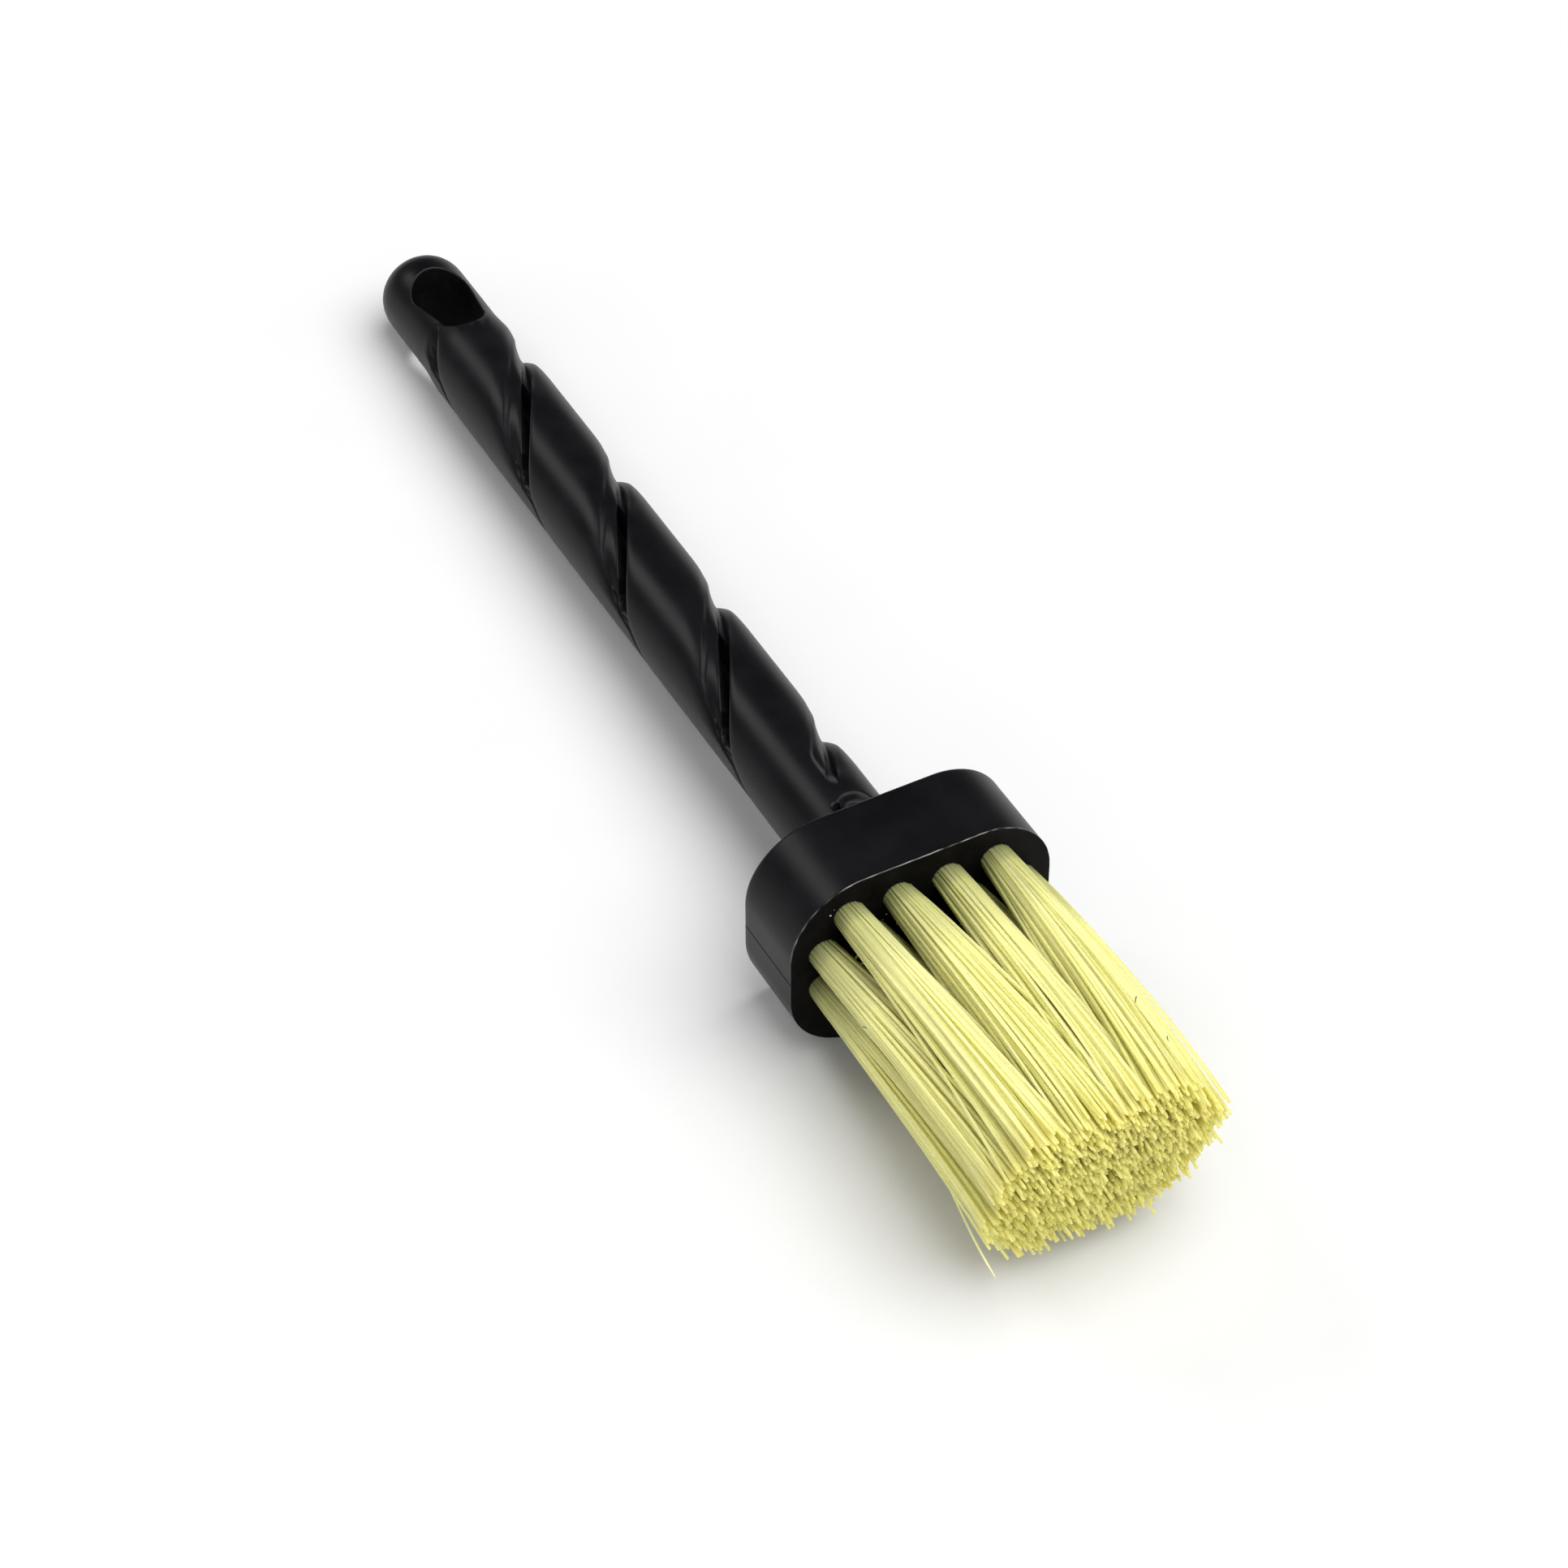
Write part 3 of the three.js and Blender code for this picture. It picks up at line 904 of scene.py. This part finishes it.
def filamentPaths(name, middle, rng):
    row = name.rsplit("_", 1)[0]
    y0, z0 = middle
    count, clumpCount = bristle["perTuft"], bristle["clumps"]
    disc = sunflower(count, rng)
    root = disc * bristle["rootRadius"]
    clumps = sunflower(clumpCount, rng) * bristle["clumpSpread"]
    nearest = np.argmin(((disc[:, None] - clumps[None]) ** 2).sum(2), 1)
    toClump = clumps[nearest] - disc
    shift = rng.normal(0, bristle["clumpShift"], (clumpCount, 2))[nearest]
    tip = disc * bristle["tipRadius"] * (1 + rng.normal(0, bristle["tipStretch"], (count, 1)))
    tip = tip + shift + rng.normal(0, bristle["tipScatter"], (count, 2))
    stray = rng.random(count) < bristle["strayShare"]
    tip = tip + stray[:, None] * rng.normal(0, bristle["strayReach"], (count, 2))
    reach = bristle["length"] + layerReach[row] + rng.normal(0, bristle["uneven"], count)
    short = rng.random(count) < bristle["shortShare"]
    reach = reach - bristle["shortBy"] * short * rng.random(count)
    reach = reach - bristle["crowned"] * (disc ** 2).sum(1)
    bow = rng.normal(0, bristle["bow"], (count, 2))
    # two rings stand in the hole, the others crowd towards the root and the tip
    rings = bristle["rings"]
    shares = np.append(np.linspace(0.02, 1, rings - 3) ** 1.15, 1.0)
    steps = [(backX + head["holeFloor"] + 0.1, 0.0), (faceX - 0.3, 0.0)]
    steps += [(None, share) for share in shares]
    paths = np.zeros((count, rings, 3))
    for r, (x, s) in enumerate(steps):
        g = s ** bristle["spreadEase"]
        pull = bristle["clumpPull"] * math.sin(math.pi * min(1, s * 0.85)) ** 1.3
        side = root * (1 - g) + tip * g + toClump * pull + bow * math.sin(math.pi * s) * s
        bend = bristle["lean"] * s ** 0.78 + bristle["sag"] * s ** 3
        paths[:, r, 0] = faceX + s * reach if x is None else x
        paths[:, r, 1] = y0 * (1 - bristle["gatherSide"] * s ** 1.2) + bend + side[:, 0]
        paths[:, r, 2] = z0 - (z0 - axisZ) * bristle["gatherUp"] * s ** 0.78 + side[:, 1]
    paths[:, -2, 0] -= bristle["tipRounding"]
    return paths


def keepAround(paths, name):
    # filaments start either side of the wire anchor, not in it
    low, high = [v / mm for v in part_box("anchor_" + name)]
    thinAxis = 1 if high.y - low.y < high.z - low.z else 2
    middle = (low[thinAxis] + high[thinAxis]) / 2
    need = (high[thinAxis] - low[thinAxis]) / 2 + bristle["diameter"] / 2
    at = paths[:, 0, thinAxis]
    clear = middle + np.where(at < middle, -1, 1) * need
    paths[:, 0, thinAxis] = np.where(np.abs(at - middle) < need, clear, at)


softShading = {"own": 0.28, "ownAtTip": 0.16, "tuft": 1.3}


def softenNormals(mesh, points, rings, sides):
    # a filament takes most of its shading from the side of the tuft it lies on
    shape = points.reshape(-1, rings, sides, 3)
    centre = shape.mean(2, keepdims=True)
    own = shape - centre
    own = own / np.linalg.norm(own, axis=3, keepdims=True)
    tuft = centre - centre.mean(0, keepdims=True)
    tuft[..., 0] = 0
    reach = np.linalg.norm(tuft, axis=3, keepdims=True).max(0, keepdims=True)
    tuft = tuft / np.maximum(reach, 0.01)
    outward = np.clip((own * tuft).sum(3, keepdims=True), 0, 1)
    along = np.linspace(0, 1, rings)[None, :, None, None]
    ownShare = softShading["own"] + softShading["ownAtTip"] * along
    mixed = own * ownShare + tuft * outward * softShading["tuft"]
    mixed = mixed / np.maximum(np.linalg.norm(mixed, axis=3, keepdims=True), 1e-6)
    corner = np.zeros(len(mesh.loops), int)
    mesh.loops.foreach_get("vertex_index", corner)
    normals = mixed.reshape(-1, 3)[corner]
    for face in mesh.polygons:
        if face.loop_total == sides:    # the two ends face straight back and out
            low = face.vertices[0] // sides % rings == 0
            normals[face.loop_start:face.loop_start + sides] = (-1 if low else 1, 0, 0)
    mesh.normals_split_custom_set(normals.tolist())


def addTufts():
    made = []
    sides = bristle["sides"]
    for index, (name, middle) in enumerate(tuftPlaces().items()):
        rng = np.random.default_rng(900 + index)
        paths = filamentPaths(name, middle, rng)
        keepAround(paths, name)
        count, rings = paths.shape[:2]
        scatter = 1 + rng.normal(0, bristle["thickScatter"], (count, 1))
        thick = bristle["diameter"] / 2 * scatter * np.linspace(1, bristle["tipThicker"], rings)
        thick[:, -1] *= bristle["lastRing"]
        points, faces, places = tubes(paths, thick, sides)
        obj = addMesh("bristles_" + name, points, faces)
        mesh = obj.data
        layer = mesh.uv_layers.new(name="OFBake")
        layer.data.foreach_set("uv", np.array(places, np.float32).ravel())
        along = np.clip((paths[:, :, 0] - faceX) / bristle["length"], 0, 1).ravel()
        pointValues(mesh, "along", np.repeat(along, sides))
        tone = np.clip(rng.normal(0.35, 0.2, count), 0, 1)
        pointValues(mesh, "tone", np.repeat(tone, rings * sides))
        softenNormals(mesh, points, rings, sides)
        mesh.materials.append(nylonFinish)
        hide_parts("tuft_" + name)
        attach(obj, "root")
        made.append(obj)
    return made


tufts = addTufts()
print("tufts made", len(tufts))

# a filament that has come away from the lowest tufts, and two cut ones caught between tufts
looseFilaments = {
    "diameter": 0.2,
    "sides": 8,
    "rings": 26,
    "shade": 0.6,    # where on a filament its colour is taken from
    # mm from the face, from the middle, and from the underside
    "paths": [
        [(-2.0, -10.3, 6.2), (4.0, -10.0, 5.9), (15.0, -9.5, 4.6), (24.0, -10.3, 4.1),
         (33.05, -11.35, 3.35)],
        [(2.4, -9.3, 11.4), (2.4, -8.4, 12.5), (2.4, -7.5, 13.6)],
        [(2.9, -8.3, 12.8), (3.4, -7.0, 12.4), (3.7, -5.6, 11.5)],
    ],
}


def freeTube(path, radius, sides):
    # a round tube along a bent path, closed at both ends
    along = np.gradient(path, axis=0)
    along = along / np.linalg.norm(along, axis=1, keepdims=True)
    aside = np.cross(along, (0.31, 0.17, 0.93))
    aside = aside / np.linalg.norm(aside, axis=1, keepdims=True)
    over = np.cross(along, aside)
    points, faces = [], []
    for i, at in enumerate(path):
        r = radius * (0.5 if i in (0, len(path) - 1) else 1)
        for k in range(sides):
            a = 2 * math.pi * k / sides
            points.append(at + r * (math.cos(a) * aside[i] + math.sin(a) * over[i]))
    for i in range(len(path) - 1):
        for k in range(sides):
            a, b = i * sides + k, i * sides + (k + 1) % sides
            faces.append((a, b, b + sides, a + sides))
    faces.append(tuple(reversed(range(sides))))
    faces.append(tuple(range((len(path) - 1) * sides, len(path) * sides)))
    return points, faces


def joinTubes(name, paths, radius, sides):
    points, faces = [], []
    for path in paths:
        tubePoints, tubeFaces = freeTube(path, radius, sides)
        faces += [tuple(v + len(points) for v in face) for face in tubeFaces]
        points += tubePoints
    return addMesh(name, points, faces)


def addLooseFilaments():
    paths = []
    for knots in looseFilaments["paths"]:
        knots = np.array(knots) + (faceX, 0, 0)
        last = len(knots) - 1
        at = np.linspace(0, last, looseFilaments["rings"])
        fit = [np.polyfit(np.arange(last + 1), knots[:, axis], last) for axis in range(3)]
        paths.append(np.stack([np.polyval(f, at) for f in fit], 1))
    obj = joinTubes("loose_filaments", paths, looseFilaments["diameter"] / 2,
                    looseFilaments["sides"])
    count = len(obj.data.vertices)
    pointValues(obj.data, "along", [looseFilaments["shade"]] * count)
    pointValues(obj.data, "tone", [0] * count)
    obj.data.materials.append(nylonFinish)
    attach(obj, "root")


addLooseFilaments()
print("loose filaments made")

# crumbs of nylon on the face: from the middle, from the underside, and radius, in mm
crumbs = {
    "places": [
        (-9.38, 16.78, 0.12), (-3.68, 14.18, 0.12), (-2.57, 12.39, 0.11), (3.52, 10.02, 0.11),
        (-4.05, 13.6, 0.07), (-9.0, 17.3, 0.05), (9.6, 13.0, 0.08), (0.9, 13.1, 0.06),
    ],
    "flatten": (0.6, 1, 0.8),
    "lumps": (9, 0.45),    # how close, and how deep
    "dark": (0.16, 0.15, 0.11, 1),
    "light": (0.42, 0.40, 0.32, 1),
    "rough": 0.6,
}
# dark fibres on the bristles: from the face, from the middle, length, and lean
fibres = {
    "places": [(28.45, 7.7, 0.9, 0.5), (23.85, 7.3, 0.8, 1.0), (10.25, -11.6, 0.5, -0.7)],
    "diameter": 0.1,
    "sides": 6,
    "rings": 12,
    "above": 0.03,         # over the highest filament near it
    "dark": (0.03, 0.04, 0.03, 1),
    "light": (0.10, 0.11, 0.08, 1),
    "rough": 0.7,
}
speckles = 6000


def speckledFinish(name, looks):
    material, tree, shader = newMaterial(name)
    place = node(tree, "ShaderNodeTexCoord", (-900, 0)).outputs["Object"]
    marks = noisePattern(tree, (-700, 0), place, speckles)
    colours = colourRamp(tree, (-450, 0), marks, [(0, looks["dark"]), (1, looks["light"])])
    tree.links.new(colours, shader.inputs["Base Color"])
    setSockets(shader, {"Roughness": looks["rough"]})
    return material


def addCrumbs():
    made = bmesh.new()
    closeness, deepness = crumbs["lumps"]
    for y, z, size in crumbs["places"]:
        added = bmesh.ops.create_icosphere(made, subdivisions=2, radius=size * mm)["verts"]
        for v in added:
            lump = noise.noise(v.co / mm * closeness + Vector((y, z, 0)))
            v.co = v.co * Vector(crumbs["flatten"]) * (1 + deepness * lump)
            v.co += Vector((faceX + size * 0.3, y, z)) * mm
    mesh = bpy.data.meshes.new("face_crumbs")
    made.to_mesh(mesh)
    made.free()
    mesh.shade_smooth()
    mesh.materials.append(speckledFinish("pale_crumbs", crumbs))
    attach(showMesh("face_crumbs", mesh), "root")


def addFibres():
    # each lies on the highest filament under it
    tops = np.concatenate([np.array([v.co for v in tuft.data.vertices]) / mm for tuft in tufts])
    t = np.linspace(-0.5, 0.5, fibres["rings"])
    paths = []
    for out, y, length, lean in fibres["places"]:
        x = faceX + out
        near = (np.abs(tops[:, 0] - x) < 2.2) & (np.abs(tops[:, 1] - y) < 0.4)
        z = tops[near, 2].max() + fibres["above"]
        across = y - t * length * lean * 0.6 + 0.25 * t * t
        paths.append(np.stack([x + t * length * 0.75, across, z + 0.05 * np.cos(5 * t)], 1))
    obj = joinTubes("dark_fibres", paths, fibres["diameter"] / 2, fibres["sides"])
    obj.data.materials.append(speckledFinish("dark_fibres", fibres))
    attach(obj, "root")


addCrumbs()
addFibres()
print("crumbs and fibres made")

for name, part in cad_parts.items():
    if name.startswith("anchor_"):
        part.data.materials.clear()
        part.data.materials.append(steelFinish)
print("wire anchors finished")

# metres, and degrees from the brush's own line and from the table
view = {
    "target": (0.0066, 0.0031, 0.0),
    "distance": 0.4417,
    "turn": -28.4,
    "rise": 44.3,
    "lens": 105.77,
}


def addCamera():
    a, e = math.radians(view["turn"]), math.radians(view["rise"])
    back = Vector((math.cos(e) * math.cos(a), math.cos(e) * math.sin(a), math.sin(e)))
    data = bpy.data.cameras.new("camera")
    data.lens = view["lens"]
    data.sensor_width = 36
    data.clip_start, data.clip_end = 0.02, 20
    camera = bpy.data.objects.new("camera", data)
    bpy.context.scene.collection.objects.link(camera)
    camera.location = Vector(view["target"]) + back * view["distance"]
    camera.rotation_mode = "QUATERNION"
    camera.rotation_quaternion = (-back).to_track_quat("-Z", "Y")
    bpy.context.scene.camera = camera


table = {
    "size": 6.0,
    "cells": 8,
    "clouds": 60,
    "pale": (0.60, 0.60, 0.605, 1),
    "paler": (0.63, 0.63, 0.63, 1),
    "rough": 0.75,
    "below": 0.02,           # mm under what it carries
    "headEdge": 0.15,        # where the brush touches it, in from the head's back
    "handleEnd": 2.6,        # and in from the handle's end
}


def addTable():
    # the brush rests on the lower back edge of its head and on the end of its handle
    rest = Vector((backX + table["headEdge"], 0, bodyLow.z)) * mm
    endRest = Vector((endX + table["handleEnd"], 0, axisZ - handle["endRadius"])) * mm
    tilt = math.atan2(endRest.z - rest.z, rest.x - endRest.x)
    cells = table["cells"]
    bpy.ops.mesh.primitive_grid_add(x_subdivisions=cells, y_subdivisions=cells, size=table["size"])
    floor = bpy.context.object
    floor.name = "table"
    floor.location = rest - Vector((0, 0, table["below"] * mm))
    floor.rotation_euler = (0, tilt, 0)
    material, tree, shader = newMaterial("pale_table")
    place = node(tree, "ShaderNodeTexCoord", (-900, 0)).outputs["Object"]
    clouds = noisePattern(tree, (-700, 0), place, table["clouds"], 4)
    colours = colourRamp(tree, (-450, 0), clouds, [(0, table["pale"]), (1, table["paler"])])
    tree.links.new(colours, shader.inputs["Base Color"])
    setSockets(shader, {"Roughness": table["rough"]})
    floor.data.materials.append(material)


# metres, and watts; both point at the brush
lights = {
    "key": {"at": (0.37, 0.37, 1.19), "size": 1.5, "power": 27},
    "sheen": {"at": (-0.57, -0.33, 0.61), "size": 0.36, "power": 1.9},
}
# soft light from all round, dimmer from one side
room = {
    "dimTowards": (-0.63, 0.34, 0.70),
    "dim": 0.11,
    "bright": 1.1,
    "dimFrom": -0.15,
    "dimFully": 0.52,
}


def addLights():
    for name, light in lights.items():
        data = bpy.data.lights.new(name, "AREA")
        data.shape = "DISK"
        data.size = light["size"]
        data.energy = light["power"]
        lamp = bpy.data.objects.new(name, data)
        bpy.context.scene.collection.objects.link(lamp)
        lamp.location = light["at"]
        lamp.rotation_mode = "QUATERNION"
        lamp.rotation_quaternion = (-Vector(light["at"])).to_track_quat("-Z", "Y")
    world = bpy.data.worlds.new("room")
    world.use_nodes = True
    tree = world.node_tree
    sky = node(tree, "ShaderNodeTexCoord", (-900, 0))
    facing = node(tree, "ShaderNodeVectorMath", (-700, 0), {1: room["dimTowards"]},
                  operation="DOT_PRODUCT")
    tree.links.new(sky.outputs["Generated"], facing.inputs[0])
    shade = node(tree, "ShaderNodeMapRange", (-450, 0), {
        "From Min": room["dimFrom"], "From Max": room["dimFully"],
        "To Min": room["bright"], "To Max": room["dim"],
    }, interpolation_type="SMOOTHSTEP")
    tree.links.new(facing.outputs["Value"], shade.inputs["Value"])
    background = tree.nodes["Background"]
    tree.links.new(shade.outputs["Result"], background.inputs["Strength"])
    setSockets(background, {"Color": (1, 1, 1, 1)})
    scene = bpy.context.scene
    scene.world = world
    scene.view_settings.view_transform = "Standard"
    scene.cycles.diffuse_bounces = 12    # light has to find its way out of the bristles
    scene.cycles.max_bounces = 16


addCamera()
addTable()
addLights()
print("camera, table and lights placed")
